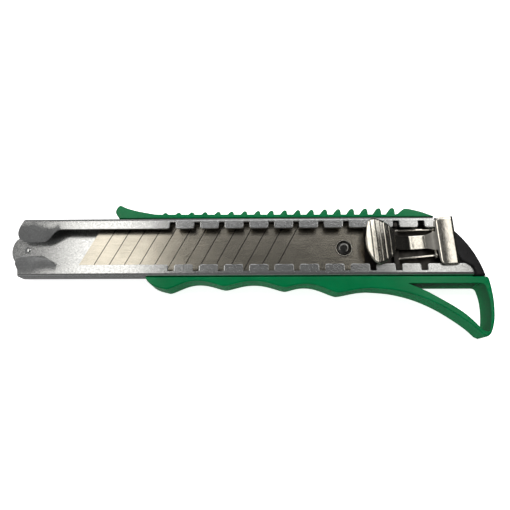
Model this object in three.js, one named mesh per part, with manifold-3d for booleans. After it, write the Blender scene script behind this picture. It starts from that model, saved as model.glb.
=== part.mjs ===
// Snap-off utility knife, millimetres, lying on its back.
// X runs along the knife (nose at -X), Y across it (cutting edge of the blade at -Y), Z up out of the channel.
// The origin is on the flat back of the handle, under the channel's centre line.

import * as THREE from 'three';
import { mergeVertices } from 'three/addons/utils/BufferGeometryUtils.js';
import Module from 'manifold-3d';

const wasm = await Module();
wasm.setup();

// ---------- driving dimensions ----------

// Sheet-metal channel
const SHEET = 0.9;               // sheet thickness
const CHANNEL_HALF = 10.3;       // half of the outer width
const CHANNEL_BOTTOM = 3.8;      // underside of the channel's floor
const LIP_TOP = 10;              // upper face of the two lips
const FOLD_RADIUS = 0.95;        // radius of the sheet's middle at each fold
const LIP_EDGE = 6.45;           // free edge of a lip, from the centre line
const FLOOR_TOP = CHANNEL_BOTTOM + SHEET;
const NOSE_X = -87;              // front of the floor's rounded tongue
const FLAP_FRONT_X = -83;        // front edge of the two nose flaps
const FLAP_FULL_X = -74.2;       // they have their full depth in front of this
const FLAP_START_X = -67.5;      // and the lips are flat behind this
const FLAP_EDGE = 2.75;          // free edge of a nose flap, from the centre line
const FLAP_DROP = 2.35;          // how far a nose flap's edge is pressed down
const REAR_TOP_X = 61.5;         // rear end of the channel at its +Y side
const REAR_BOTTOM_X = 74.1;      // and at its -Y side

// Lock notches in both lips
const NOTCH_COUNT = 11;
const NOTCH_PITCH = 8.57;
const FIRST_NOTCH_X = -28.1;
const NOTCH_WIDTH = 2.1;
const NOTCH_END = 8.8;           // closed end of a notch, from the centre line
const LOCKED_NOTCH = 9;          // index of the notch that the teeth stand at here

// Blade
const BLADE_WIDTH = 18;
const BLADE_THICKNESS = 0.5;
const BLADE_BOTTOM = 5.85;
const BLADE_TIP_X = -63.1;       // the point, on the cutting edge
const BLADE_END_X = 38.4;
const SCORE_ANGLE = THREE.MathUtils.degToRad(62);
const SCORE_PITCH = 5.36;
const SCORE_COUNT = 13;
const BLADE_HOLE_RADIUS = 3.05;
const BLADE_TOP = BLADE_BOTTOM + BLADE_THICKNESS;

// Slider: carrier, stud, lever, pin and spring.
// Its own u axis runs back from the blade stud, and it sits askew in the channel by its side play.
const STUD_X = 31.4;
const SLIDER_YAW = THREE.MathUtils.degToRad(3.6);
const CARRIER_BOTTOM = 4.9;
const CARRIER_TOP = 5.7;
const CARRIER_HALF = 7;
const CARRIER_FRONT_U = -5;
const CARRIER_REAR_U = 33.6;
const FLANGE_TOP = 8.2;
const PIN_U = 31.2;
const PIN_Z = 7.2;
const PIN_RADIUS = 0.7;
const LEVER_SHEET = 0.8;
const STRIP_BOTTOM = 7;
const TAB_BOTTOM = 11.2;         // underside of the thumb tab, lever held down
const CROSS_PLATE_BOTTOM = 10.8; // underside of the plate that rides over the lips
const STRIP_V = [-2.45, 2.35];   // the two long edges of the lever's strip
const NECK_V = [-3.6, 2.35];     // and of its wider ramp

// Handle
const HANDLE_FRONT = 9.2;        // front face
const BED_TOP = 3.6;             // face that the channel lies on
const STRIP_EDGE_FRONT = 11.95;  // outer edge of the strip above the channel, between its ridges
const STRIP_EDGE_REAR = 11.35;   // it narrows a little towards the rear
const GRIP_INNER = -10.8;        // inner edge of the grip, along the channel
const POCKET_HALF = 10.5;        // half width of the bed's pocket for the channel
const RIDGE_COUNT = 18;
const RIDGE_PITCH = 4.67;
const FIRST_RIDGE_X = -31.1;

// End cap
const CAP_BOTTOM = 0.4;
const CAP_TOP = 9.3;

// Flush rivets that hold the channel on the bed
const RIVET_XS = { front: -36, rear: 56 };

// ---------- finishes ----------

const finish = (color, roughness, metalness) => new THREE.MeshStandardMaterial({ color, roughness, metalness });
const zincSheet = finish('#b9bab8', 0.42, 0.9);
const bladeSteel = finish('#a9a59b', 0.3, 1);
const chromedSteel = finish('#d9d4c6', 0.14, 1);
const springSteel = finish('#6f6c66', 0.35, 1);
const greenPlastic = finish('#067a48', 0.35, 0);
const blackPlastic = finish('#232223', 0.45, 0);

// ---------- small tools ----------

function toSolid(geometry) {
  const bare = geometry.clone();
  bare.deleteAttribute('normal');
  bare.deleteAttribute('uv');
  const welded = mergeVertices(bare, 1e-4);
  const corners = [...welded.index.array];
  const triVerts = [];
  for (let i = 0; i < corners.length; i += 3) {
    const triangle = corners.slice(i, i + 3);
    if (new Set(triangle).size === 3) triVerts.push(...triangle);
  }
  return new wasm.Manifold(new wasm.Mesh({
    numProp: 3,
    vertProperties: new Float32Array(welded.attributes.position.array),
    triVerts: new Uint32Array(triVerts),
  }));
}

function toGeometry(solid) {
  const { vertProperties, triVerts } = solid.getMesh();
  const geometry = new THREE.BufferGeometry();
  geometry.setAttribute('position', new THREE.BufferAttribute(vertProperties, 3));
  geometry.setIndex(new THREE.BufferAttribute(triVerts, 1));
  return geometry;
}

const joined = (first, ...others) =>
  toGeometry(others.reduce((whole, other) => whole.add(toSolid(other)), toSolid(first)));

const cut = (body, ...tools) =>
  toGeometry(tools.reduce((whole, tool) => whole.subtract(toSolid(tool)), toSolid(body)));

const common = (first, second) => toGeometry(toSolid(first).intersect(toSolid(second)));

const block = (x0, x1, y0, y1, z0, z1) =>
  new THREE.BoxGeometry(x1 - x0, y1 - y0, z1 - z0).translate((x0 + x1) / 2, (y0 + y1) / 2, (z0 + z1) / 2);

const rod = (radius, x, y, z0, z1, sides = 24) =>
  new THREE.CylinderGeometry(radius, radius, z1 - z0, sides).rotateX(Math.PI / 2).translate(x, y, (z0 + z1) / 2);

// A round hole for an outline, as a path that doesn't repeat its first point.
const circleHole = (x, y, radius, sides = 20) => new THREE.Path(Array.from({ length: sides }, (_, i) => {
  const angle = (2 * Math.PI * i) / sides;
  return new THREE.Vector2(x + radius * Math.cos(angle), y + radius * Math.sin(angle));
}));

const polygon = (points) => new THREE.Shape(points.map(([x, y]) => new THREE.Vector2(x, y)));

// A closed outline from corners [x, y, radius], each rounded over by its radius.
function roundedOutline(corners) {
  const shape = new THREE.Shape();
  corners.forEach(([x, y, radius], index) => {
    const here = new THREE.Vector2(x, y);
    const towards = (other) => {
      const step = new THREE.Vector2(other[0], other[1]).sub(here);
      return here.clone().add(step.setLength(Math.min(radius, step.length() * 0.49)));
    };
    const start = towards(corners.at(index - 1));
    const end = towards(corners[(index + 1) % corners.length]);
    if (index === 0) shape.moveTo(start.x, start.y);
    else shape.lineTo(start.x, start.y);
    shape.quadraticCurveTo(x, y, end.x, end.y);
  });
  return shape;
}

// A plate with its outline in X and Y, between two heights.
function plate(shape, z0, z1, curveSegments = 6) {
  const geometry = new THREE.ExtrudeGeometry(shape, { depth: z1 - z0, bevelEnabled: false, curveSegments });
  return geometry.translate(0, 0, z0);
}

// A bar along X whose section is drawn in Y and Z.
const YZ_ALONG_X = new THREE.Matrix4().makeBasis(
  new THREE.Vector3(0, 1, 0), new THREE.Vector3(0, 0, 1), new THREE.Vector3(1, 0, 0));

const barAlongX = (section, x0, x1) => plate(section, x0, x1).applyMatrix4(YZ_ALONG_X);

// A bar across the slider whose side view is drawn in X and Z.
const barAlongY = (side, y0, y1) => plate(side, -y1, -y0).rotateX(Math.PI / 2);

// A ribbon of even thickness along a polyline, as a closed outline.
function ribbon(points, thickness) {
  const line = points.map(([x, y]) => new THREE.Vector2(x, y));
  const offset = (side) => line.map((point, i) => {
    const before = line[Math.max(i - 1, 0)];
    const after = line[Math.min(i + 1, line.length - 1)];
    const along = after.clone().sub(before).normalize();
    return new THREE.Vector2(-along.y, along.x).multiplyScalar(side * thickness / 2).add(point);
  });
  return [...offset(1), ...offset(-1).reverse()];
}

const yawed = (geometry) => geometry.rotateZ(SLIDER_YAW).translate(STUD_X, 0, 0);

// ---------- blade channel ----------

// Half of the sheet's middle line in Y and Z, from the floor's centre to the free edge of the lip.
// Pressed is 0 for the flat lip and 1 for the full nose flap.
function channelHalfLine(pressed) {
  const side = CHANNEL_HALF - SHEET / 2;
  const floor = CHANNEL_BOTTOM + SHEET / 2;
  const lip = LIP_TOP - SHEET / 2;
  const edge = THREE.MathUtils.lerp(LIP_EDGE, FLAP_EDGE, pressed);
  const foldSteps = 4;
  const lipSteps = 6;
  const line = [[0, floor]];
  for (let i = 0; i <= foldSteps; i++) {
    const angle = -Math.PI / 2 + (i / foldSteps) * Math.PI / 2;
    line.push([side - FOLD_RADIUS + FOLD_RADIUS * Math.cos(angle), floor + FOLD_RADIUS * (1 + Math.sin(angle))]);
  }
  for (let i = 0; i <= foldSteps; i++) {
    const angle = (i / foldSteps) * Math.PI / 2;
    line.push([side - FOLD_RADIUS + FOLD_RADIUS * Math.cos(angle), lip - FOLD_RADIUS * (1 - Math.sin(angle))]);
  }
  for (let i = 1; i <= lipSteps; i++) {
    const share = i / lipSteps;
    const y = THREE.MathUtils.lerp(side - FOLD_RADIUS, edge, share);
    line.push([y, lip - FLAP_DROP * pressed * share ** 1.5]);
  }
  return line;
}

function channelSection(pressed) {
  const half = channelHalfLine(pressed);
  const mirrored = half.slice(1).reverse().map(([y, z]) => [-y, z]);
  return ribbon([...mirrored, ...half], SHEET);
}

// A skin over rings of equal point counts standing at the given X stations, closed at both ends.
function loftAlongX(stations, rings) {
  const count = rings[0].length;
  const positions = stations.flatMap((x, i) => rings[i].flatMap((point) => [x, point.x, point.y]));
  const triangles = [];
  for (let i = 0; i + 1 < stations.length; i++) {
    for (let j = 0; j < count; j++) {
      const a = i * count + j;
      const b = i * count + (j + 1) % count;
      triangles.push(a, b + count, b, a, a + count, b + count);
    }
  }
  const faces = THREE.ShapeUtils.triangulateShape(rings[0], []);
  const last = (stations.length - 1) * count;
  faces.forEach(([a, b, c]) => triangles.push(a, c, b, last + a, last + b, last + c));
  const geometry = new THREE.BufferGeometry();
  geometry.setAttribute('position', new THREE.Float32BufferAttribute(positions, 3));
  geometry.setIndex(triangles);
  return geometry;
}

// The slanted rear end, shared by the floor and the lips.
const REAR_CORNERS = [
  [REAR_TOP_X, 12, 0.2], [REAR_TOP_X, CHANNEL_HALF, 0.3], [62.3, 8.8, 0.8], [69.9, -5.6, 1.6],
  [REAR_BOTTOM_X - 0.8, -7.6, 1.2], [REAR_BOTTOM_X, -9.8, 0.5], [REAR_BOTTOM_X, -12, 0.2],
];

// The floor runs on in front of the flaps as a rounded tongue.
const floorPlan = () => roundedOutline([
  ...REAR_CORNERS, [-80.6, -12, 0.2], [-80.9, -9, 0.8], [-82.9, -5.6, 0.8], [-84.8, -4.4, 1], [NOSE_X, 0.2, 4],
  [-85.2, 4.6, 1], [FLAP_FRONT_X, 5.2, 0.8], [-80.2, CHANNEL_HALF, 0.8], [-79.9, 12, 0.2],
]);

// The two flaps have rounded inner corners.
const lipPlan = () => roundedOutline([
  ...REAR_CORNERS, [-80.6, -12, 0.2], [-80.9, -9, 0.8], [FLAP_FRONT_X, -5.4, 1.2], [FLAP_FRONT_X, -FLAP_EDGE, 1.6],
  [-79.6, -1.6, 0.2], [-79.6, 1.6, 0.2], [FLAP_FRONT_X, FLAP_EDGE, 1.6], [FLAP_FRONT_X, 5.6, 1.2],
  [-80.2, CHANNEL_HALF, 0.8], [-79.9, 12, 0.2],
]);

function notch(index) {
  const x = FIRST_NOTCH_X + index * NOTCH_PITCH;
  const reach = (side) => block(
    x - NOTCH_WIDTH / 2, x + NOTCH_WIDTH / 2,
    Math.min(side * (LIP_EDGE - 1), side * NOTCH_END), Math.max(side * (LIP_EDGE - 1), side * NOTCH_END),
    LIP_TOP - SHEET - 0.5, LIP_TOP + 1);
  return [reach(1), reach(-1)];
}

const RIVET_HEAD = 2.6;
const RIVET_SHANK = 1.6;
const RIVET_PLAY = 0.3;

// The countersink of a flush rivet, opening at the floor's upper face.
function rivetHole(x) {
  const profile = [
    [0, CHANNEL_BOTTOM - 1], [RIVET_SHANK + RIVET_PLAY, CHANNEL_BOTTOM - 1],
    [RIVET_SHANK + RIVET_PLAY, CHANNEL_BOTTOM + 0.1], [RIVET_HEAD + RIVET_PLAY, FLOOR_TOP - 0.1],
    [RIVET_HEAD + RIVET_PLAY, FLOOR_TOP + 0.5], [0, FLOOR_TOP + 0.5],
  ];
  return lathe(profile, x, 0);
}

function lathe(profile, x, y, sides = 24) {
  const points = profile.map(([radius, z]) => new THREE.Vector2(radius, z));
  return new THREE.LatheGeometry(points, sides).rotateX(Math.PI / 2).translate(x, y, 0);
}

function bladeChannel() {
  const pressSteps = 6;
  const stations = [NOSE_X - 1, -79, -76];
  const pressed = [1, 1, 1];
  for (let i = 0; i <= pressSteps; i++) {
    const share = i / pressSteps;
    stations.push(THREE.MathUtils.lerp(FLAP_FULL_X, FLAP_START_X, share));
    pressed.push(1 - THREE.MathUtils.smoothstep(share, 0, 1));
  }
  stations.push(REAR_BOTTOM_X + 1);
  pressed.push(0);
  const folded = loftAlongX(stations, pressed.map(channelSection));
  const floorHeight = FLOOR_TOP + 0.4;
  const trimming = joined(plate(floorPlan(), 0, floorHeight), plate(lipPlan(), floorHeight, LIP_TOP + 2));
  const trimmed = common(folded, trimming);
  const notches = Array.from({ length: NOTCH_COUNT }, (_, index) => notch(index)).flat();
  return cut(trimmed, ...notches, ...Object.values(RIVET_XS).map(rivetHole));
}

// ---------- handle ----------

const stripEdge = (x) => THREE.MathUtils.mapLinear(x, -35, 50, STRIP_EDGE_FRONT, STRIP_EDGE_REAR);

// Ridges of the top strip: low and round at the front, tall and saw-toothed at the rear.
function ridgePoints(index) {
  const share = index / (RIDGE_COUNT - 1);
  const x = FIRST_RIDGE_X + index * RIDGE_PITCH;
  const height = THREE.MathUtils.lerp(0.45, 2.4, share);
  const rise = THREE.MathUtils.lerp(0.9, 2.2, share);
  const fall = 0.95;
  return [
    [x - rise, 0], [x - rise * 0.75, height * 0.42], [x - rise * 0.35, height * 0.82],
    [x - 0.1, height], [x + 0.35, height * 0.93], [x + fall * 0.75, height * 0.5], [x + fall, 0],
  ].map(([px, py]) => [px, stripEdge(px) + py]);
}

// Crests and valleys of the finger grooves, from the front of the grip to the palm.
const GRIP_EXTREMES = [
  [-29.6, -14.9], [-19.3, -11.9], [-9.9, -13.8], [0, -12.05], [10.8, -14.3], [17.5, -13.1], [28.6, -16.2], [39.6, -14.65],
];

// The curve stays close to each valley for longer than to each crest.
function gripWave() {
  const stepsPerFlank = 7;
  const points = [];
  for (let i = 0; i + 1 < GRIP_EXTREMES.length; i++) {
    const [x0, y0] = GRIP_EXTREMES[i];
    const [x1, y1] = GRIP_EXTREMES[i + 1];
    const leavesCrest = y0 < y1;
    for (let step = 0; step < stepsPerFlank; step++) {
      const along = step / stepsPerFlank;
      const fromCrest = (leavesCrest ? along : 1 - along) ** 0.75;
      const lift = (1 - Math.cos(Math.PI * fromCrest)) / 2;
      const [crest, valley] = leavesCrest ? [y0, y1] : [y1, y0];
      points.push([THREE.MathUtils.lerp(x0, x1, along), THREE.MathUtils.lerp(crest, valley, lift)]);
    }
  }
  return points;
}

const spline = (points, steps) =>
  new THREE.SplineCurve(points.map(([x, y]) => new THREE.Vector2(x, y))).getPoints(steps).map((p) => [p.x, p.y]);

function handleOutline() {
  const frontLip = spline([[-47.5, 10.6], [-48.75, 13], [-47.4, 15.3], [-44.8, 14.35], [-40.8, 13.2], [-34.7, 12]], 20);
  const ridges = Array.from({ length: RIDGE_COUNT }, (_, index) => ridgePoints(index)).flat();
  const hump = spline([[50.4, 11.9], [51.6, 12.85], [53.2, 13.45], [57.8, 12.35], [62.2, 10.5]], 14);
  const tailTop = [[61.6, 9.3], [69, -5], [72.6, -7.2], [73.6, GRIP_INNER], [78.5, GRIP_INNER]];
  const tailSide = spline([[78.9, -11.1], [79.5, -15.5], [79.7, -20], [79.2, -25.4], [77.8, -29.5], [76.3, -30.8]], 20);
  const sweep = spline([[75, -30.2], [71.3, -26.7], [63.6, -21.4], [55.7, -17.6], [47.5, -15.4], GRIP_EXTREMES.at(-1)], 18);
  const gripStart = spline([[-38.3, GRIP_INNER], [-35, -12.9], GRIP_EXTREMES[0]], 7);
  const wave = gripWave().slice(1);
  return [
    ...frontLip, [FIRST_RIDGE_X - 1.4, stripEdge(FIRST_RIDGE_X)], ...ridges, [50.1, STRIP_EDGE_REAR], ...hump,
    ...tailTop, ...tailSide, ...sweep, ...wave.reverse(), ...gripStart.reverse(),
  ];
}

// The tail is a thin strap bent round a nearly triangular loop.
const loopHole = () => plate(roundedOutline([
  [52, -13.1, 0.4], [77.2, -13.1, 1.5], [78.2, -17.5, 3], [78.2, -23, 3], [77.3, -29.4, 1.6], [75.4, -29, 1.2],
  [70.7, -23.7, 3], [66, -20.4, 2], [58, -15.7, 1.5],
]), -1, HANDLE_FRONT + 1);

function rivetPocket(x) {
  return joined(rod(RIVET_SHANK + RIVET_PLAY, x, 0, -1, BED_TOP + 1), rod(4, x, 0, -1, 1.5));
}

function handleBody() {
  const body = plate(polygon(handleOutline()), 0, HANDLE_FRONT);
  const pocket = block(-60, 90, -POCKET_HALF, POCKET_HALF, BED_TOP, HANDLE_FRONT + 1);
  return cut(body, pocket, loopHole(), ...Object.values(RIVET_XS).map(rivetPocket));
}

function channelRivet(x) {
  return lathe([
    [0, 0.4], [3.4, 0.4], [3.4, 1.2], [RIVET_SHANK, 1.2], [RIVET_SHANK, CHANNEL_BOTTOM + 0.1],
    [RIVET_HEAD, FLOOR_TOP - 0.1], [0, FLOOR_TOP - 0.1],
  ], x, 0);
}

// ---------- end cap ----------

// The cap's back follows one arc from the channel's upper corner to the tail bar.
function capOutline(slantGap) {
  const centre = new THREE.Vector2(45.8, -18.3);
  const radius = 33.15;
  const bottom = -10.5;
  const from = Math.atan2(10.2 - centre.y, 62.8 - centre.x);
  const to = Math.asin((bottom - centre.y) / radius);
  const steps = 16;
  const arc = Array.from({ length: steps + 1 }, (_, i) => {
    const angle = THREE.MathUtils.lerp(from, to, i / steps);
    return [centre.x + radius * Math.cos(angle), centre.y + radius * Math.sin(angle)];
  });
  const slant = [
    [REAR_BOTTOM_X + slantGap, bottom], [REAR_BOTTOM_X + slantGap, -9.4], [REAR_BOTTOM_X - 0.8 + slantGap, -7.4],
    [69.9 + slantGap, -5.4], [62.3 + slantGap, 8.8],
  ];
  return [...slant, ...arc];
}

function endCap() {
  const cover = plate(polygon(capOutline(0.35)), CAP_BOTTOM, CAP_TOP);
  const plugOutline = polygon([[67.4, -9.1], [75.4, -9.1], [75.4, -6], [70, 0.8], [67.4, 0.8]]);
  const plug = plate(plugOutline, FLOOR_TOP + 0.3, LIP_TOP - SHEET - 0.35);
  return joined(cover, plug);
}

// ---------- blade ----------

const alongScore = (y) => y / Math.tan(SCORE_ANGLE);
const bladeFrontX = (y) => BLADE_TIP_X + alongScore(y + BLADE_WIDTH / 2);

function scoreLine(index) {
  const width = 0.26;
  const depth = 0.14;
  const groove = polygon([[-width / 2, 0.05], [0, -depth], [width / 2, 0.05]]);
  const length = 2.4 * BLADE_WIDTH;
  const bar = barAlongX(groove, -length / 2, length / 2);
  return bar.rotateZ(SCORE_ANGLE).translate(bladeFrontX(0) + SCORE_PITCH * (index + 1), 0, BLADE_TOP);
}

function blade() {
  const half = BLADE_WIDTH / 2;
  const body = plate(polygon([
    [BLADE_TIP_X, -half], [BLADE_END_X - 2.5, -half], [BLADE_END_X, -half + 4.3], [BLADE_END_X, half],
    [bladeFrontX(half), half],
  ]), BLADE_BOTTOM, BLADE_TOP);
  const bevelWidth = 1.5;
  const edgeHalf = 0.03;
  const middle = (BLADE_TOP + BLADE_BOTTOM) / 2;
  const grind = (side) => barAlongX(polygon([
    [-half - 0.5, middle + side * edgeHalf], [-half, middle + side * edgeHalf],
    [-half + bevelWidth, middle + side * BLADE_THICKNESS / 2], [-half + bevelWidth, middle + side * BLADE_THICKNESS],
    [-half - 0.5, middle + side * BLADE_THICKNESS],
  ]), BLADE_TIP_X - 5, BLADE_END_X + 5);
  const hole = rod(BLADE_HOLE_RADIUS, STUD_X, 0, BLADE_BOTTOM - 1, BLADE_TOP + 1, 32);
  const scores = Array.from({ length: SCORE_COUNT }, (_, index) => scoreLine(index));
  return cut(body, grind(1), grind(-1), hole, ...scores);
}

// ---------- slider ----------

const RAIL_SHEET = 0.7;
const SPRING_RIVET_U = 12;

// One upturned side of the carrier, its rear ear holding the lever's pin.
function carrierFlange(side) {
  const outline = new THREE.Shape();
  outline.moveTo(20.4, CARRIER_BOTTOM + 0.2);
  outline.lineTo(20.4, FLANGE_TOP - 0.6);
  outline.lineTo(21, FLANGE_TOP);
  outline.lineTo(PIN_U - 1.6, FLANGE_TOP);
  outline.quadraticCurveTo(PIN_U - 1.2, PIN_Z + 1.7, PIN_U, PIN_Z + 1.7);
  outline.quadraticCurveTo(PIN_U + 1.4, PIN_Z + 1.7, PIN_U + 1.4, PIN_Z);
  outline.lineTo(PIN_U + 1.4, CARRIER_BOTTOM + 0.2);
  outline.holes.push(circleHole(PIN_U, PIN_Z, PIN_RADIUS + 0.3));
  const convergence = THREE.MathUtils.degToRad(1.8);
  const centreV = -0.5;
  const halfDistance = 4.75;
  const bar = barAlongY(outline, -RAIL_SHEET / 2, RAIL_SHEET / 2).translate(-27, 0, 0);
  return bar.rotateZ(-side * convergence).translate(27, centreV + side * halfDistance, 0);
}

function bladeCarrier() {
  const base = plate(roundedOutline([
    [CARRIER_FRONT_U, -4.5, 2], [-2, -CARRIER_HALF, 2], [CARRIER_REAR_U, -CARRIER_HALF, 0.8],
    [CARRIER_REAR_U, -1, 0.8], [29.6, CARRIER_HALF, 0.8], [-2, CARRIER_HALF, 2], [CARRIER_FRONT_U, 4.5, 2],
  ]), CARRIER_BOTTOM, CARRIER_TOP);
  const studHole = rod(1.8, 0, 0, CARRIER_BOTTOM - 1, CARRIER_TOP + 1);
  const springHole = rod(1.2, SPRING_RIVET_U, 0.5, CARRIER_BOTTOM - 1, CARRIER_TOP + 1);
  return yawed(cut(joined(base, carrierFlange(1), carrierFlange(-1)), studHole, springHole));
}

function bladeStud() {
  const radius = 2.65;
  const domeRise = 0.75;
  const shoulder = 6.7;
  const steps = 5;
  const dome = Array.from({ length: steps + 1 }, (_, i) => {
    const angle = (i / steps) * Math.PI / 2;
    return [radius * Math.cos(angle), shoulder + domeRise * Math.sin(angle)];
  });
  dome[steps][0] = 0;
  return lathe([[0, CARRIER_BOTTOM], [1.5, CARRIER_BOTTOM], [1.5, CARRIER_TOP + 0.1], [radius, CARRIER_TOP + 0.1], ...dome],
    STUD_X, 0, 28);
}

// The oval thumb tab with its cross ribs.
function thumbTab() {
  const outline = roundedOutline([
    [6.3, -2.6, 2.8], [7.8, 8.4, 2.8], [12.6, 8.7, 3.2], [17.3, 4.6, 2.6], [16.5, -5.4, 2.8], [11.5, -8.1, 2.8], [8.2, -7.2, 2],
  ]);
  const oval = plate(outline, TAB_BOTTOM, TAB_BOTTOM + LEVER_SHEET);
  const ribCount = 5;
  const ribs = Array.from({ length: ribCount }, (_, index) => {
    const u = 9 + index * 1.6;
    const section = polygon([[u - 0.55, TAB_BOTTOM + 0.4], [u, TAB_BOTTOM + LEVER_SHEET + 0.45], [u + 0.55, TAB_BOTTOM + 0.4]]);
    return barAlongY(section, -4.4, 5.6);
  });
  return joined(oval, ...ribs);
}

// The lever's middle band: tab, slope, low strip and the ramp up to the cross plate.
function leverBand() {
  const half = LEVER_SHEET / 2;
  const line = [
    [14.5, TAB_BOTTOM + half], [16.9, TAB_BOTTOM + half], [17.9, TAB_BOTTOM - 0.2], [21.4, STRIP_BOTTOM + half + 0.6],
    [22.4, STRIP_BOTTOM + half], [27.6, STRIP_BOTTOM + half], [28.6, STRIP_BOTTOM + half + 0.5],
    [30.6, CROSS_PLATE_BOTTOM - 0.2], [31.8, CROSS_PLATE_BOTTOM + half], [34, CROSS_PLATE_BOTTOM + half],
  ];
  const side = new THREE.Shape(ribbon(line, LEVER_SHEET));
  const strip = barAlongY(side, ...STRIP_V);
  const neck = common(barAlongY(side, ...NECK_V), block(28.4, 40, -5, 5, 0, 20));
  return joined(strip, neck);
}

function crossPlate() {
  const outline = roundedOutline([
    [31.2, 6.6, 1], [32.6, 7.5, 0.8], [36.7, 7.2, 0.4], [36.2, -9.1, 0.5], [32, -9.3, 1], [30.9, -6.9, 1.2],
  ]);
  const flat = plate(outline, CROSS_PLATE_BOTTOM, CROSS_PLATE_BOTTOM + LEVER_SHEET);
  const rolledEdge = block(35.5, 36.2, -8.8, 6.9, CROSS_PLATE_BOTTOM - 0.3, CROSS_PLATE_BOTTOM + 0.3);
  return joined(flat, rolledEdge);
}

// Two side lugs bent down from the ramp, the pin running through them.
function leverLug(v0, v1) {
  const outline = new THREE.Shape();
  outline.moveTo(PIN_U - 1.4, PIN_Z);
  outline.absarc(PIN_U, PIN_Z, 1.4, Math.PI, 2 * Math.PI, false);
  outline.lineTo(PIN_U + 1.4, CROSS_PLATE_BOTTOM + 0.3);
  outline.lineTo(PIN_U - 1, CROSS_PLATE_BOTTOM - 0.9);
  outline.lineTo(PIN_U - 1.4, CROSS_PLATE_BOTTOM - 1.7);
  outline.holes.push(circleHole(PIN_U, PIN_Z, PIN_RADIUS + 0.3));
  return barAlongY(outline, v0, v1);
}

// The bar that carries the two lock teeth stands square to the channel, so that both meet their notches.
function toothBar() {
  const x = FIRST_NOTCH_X + LOCKED_NOTCH * NOTCH_PITCH;
  const toothHalf = 0.7;
  const reach = 8.4;
  const bar = block(x - 0.9, x + 0.9, -reach, reach, STRIP_BOTTOM, STRIP_BOTTOM + LEVER_SHEET);
  const tooth = (y0, y1) => block(x - toothHalf, x + toothHalf, y0, y1, STRIP_BOTTOM + 0.3, LIP_TOP - SHEET - 0.15);
  const tongue = yawed(block(17.2, 23, ...STRIP_V, STRIP_BOTTOM, STRIP_BOTTOM + LEVER_SHEET));
  return joined(bar, tooth(6.8, reach), tooth(-reach, -6.8), tongue);
}

function lockLever() {
  const inLine = yawed(joined(leverBand(), thumbTab(), crossPlate(), leverLug(2.1, 2.9), leverLug(-4.1, -3.3)));
  return joined(inLine, toothBar());
}

const leverPin = () =>
  yawed(new THREE.CylinderGeometry(PIN_RADIUS, PIN_RADIUS, 10.8, 16).translate(PIN_U, -0.5, PIN_Z));

function lockSpring() {
  const thickness = 0.3;
  const line = [
    [9.8, CARRIER_TOP + 0.25], [14, CARRIER_TOP + 0.25], [17, CARRIER_TOP + 0.3], [21, CARRIER_TOP + 0.7],
    [24, CARRIER_TOP + 0.95], [27, CARRIER_TOP + 0.85],
  ];
  const leaf = barAlongY(new THREE.Shape(ribbon(line, thickness)), -1.4, 2.4);
  return yawed(cut(leaf, rod(1.2, SPRING_RIVET_U, 0.5, CARRIER_TOP - 1, CARRIER_TOP + 2)));
}

const springRivet = () => yawed(lathe([
  [0, CARRIER_BOTTOM], [0.9, CARRIER_BOTTOM], [0.9, CARRIER_TOP + 0.55], [1.7, CARRIER_TOP + 0.55],
  [1.4, CARRIER_TOP + 1], [0, CARRIER_TOP + 1.05],
], SPRING_RIVET_U, 0.5));

// ---------- assembly ----------

function named(name, geometry, material) {
  const mesh = new THREE.Mesh(geometry, material);
  mesh.name = name;
  return mesh;
}

const sliderParts = new THREE.Group();
sliderParts.add(
  named('blade', blade(), bladeSteel),
  named('blade_carrier', bladeCarrier(), chromedSteel),
  named('blade_stud', bladeStud(), chromedSteel),
  named('lock_lever', lockLever(), chromedSteel),
  named('lever_pin', leverPin(), chromedSteel),
  named('lock_spring', lockSpring(), springSteel),
  named('spring_rivet', springRivet(), springSteel),
);

const knife = new THREE.Group();
knife.add(
  named('blade_channel', bladeChannel(), zincSheet),
  named('handle_body', handleBody(), greenPlastic),
  named('channel_rivet_front', channelRivet(RIVET_XS.front), springSteel),
  named('channel_rivet_rear', channelRivet(RIVET_XS.rear), springSteel),
  named('end_cap', endCap(), blackPlastic),
  sliderParts,
);

export default knife;
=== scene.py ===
"""Looks of the snap-off utility knife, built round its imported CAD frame.

Lengths are written in millimetres in the frame's axes and become metres when a mesh is made.
"""
import math

import bmesh
import bpy
import numpy as np
from mathutils import Matrix, Vector


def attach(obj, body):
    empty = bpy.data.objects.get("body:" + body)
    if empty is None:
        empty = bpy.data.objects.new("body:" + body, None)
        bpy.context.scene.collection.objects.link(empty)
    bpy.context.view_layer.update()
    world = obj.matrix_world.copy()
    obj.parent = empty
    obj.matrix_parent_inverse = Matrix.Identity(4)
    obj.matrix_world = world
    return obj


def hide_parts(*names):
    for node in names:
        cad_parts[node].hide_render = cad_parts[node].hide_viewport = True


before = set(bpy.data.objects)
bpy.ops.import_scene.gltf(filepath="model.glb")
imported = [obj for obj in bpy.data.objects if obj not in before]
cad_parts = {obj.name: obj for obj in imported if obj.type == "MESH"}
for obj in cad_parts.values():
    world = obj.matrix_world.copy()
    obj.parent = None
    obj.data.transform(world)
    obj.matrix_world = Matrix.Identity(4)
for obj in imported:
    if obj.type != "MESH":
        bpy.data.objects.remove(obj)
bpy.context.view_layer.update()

MM = 0.001

# ---------- dimensions, as in the CAD ----------

SHEET = 0.9
CHANNEL_HALF = 10.3
CHANNEL_BOTTOM = 3.8
LIP_TOP = 10.0
LIP_EDGE = 6.45
FLOOR_TOP = CHANNEL_BOTTOM + SHEET
FLAP_FULL_X, FLAP_START_X = -74.2, -67.5
FLAP_EDGE, FLAP_DROP = 2.75, 2.35

NOTCH_COUNT = 11
NOTCH_PITCH = 8.57
FIRST_NOTCH_X = -28.1
NOTCH_HALF = 1.05
NOTCH_END = 8.8
LOCKED_NOTCH_X = FIRST_NOTCH_X + 9 * NOTCH_PITCH

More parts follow.
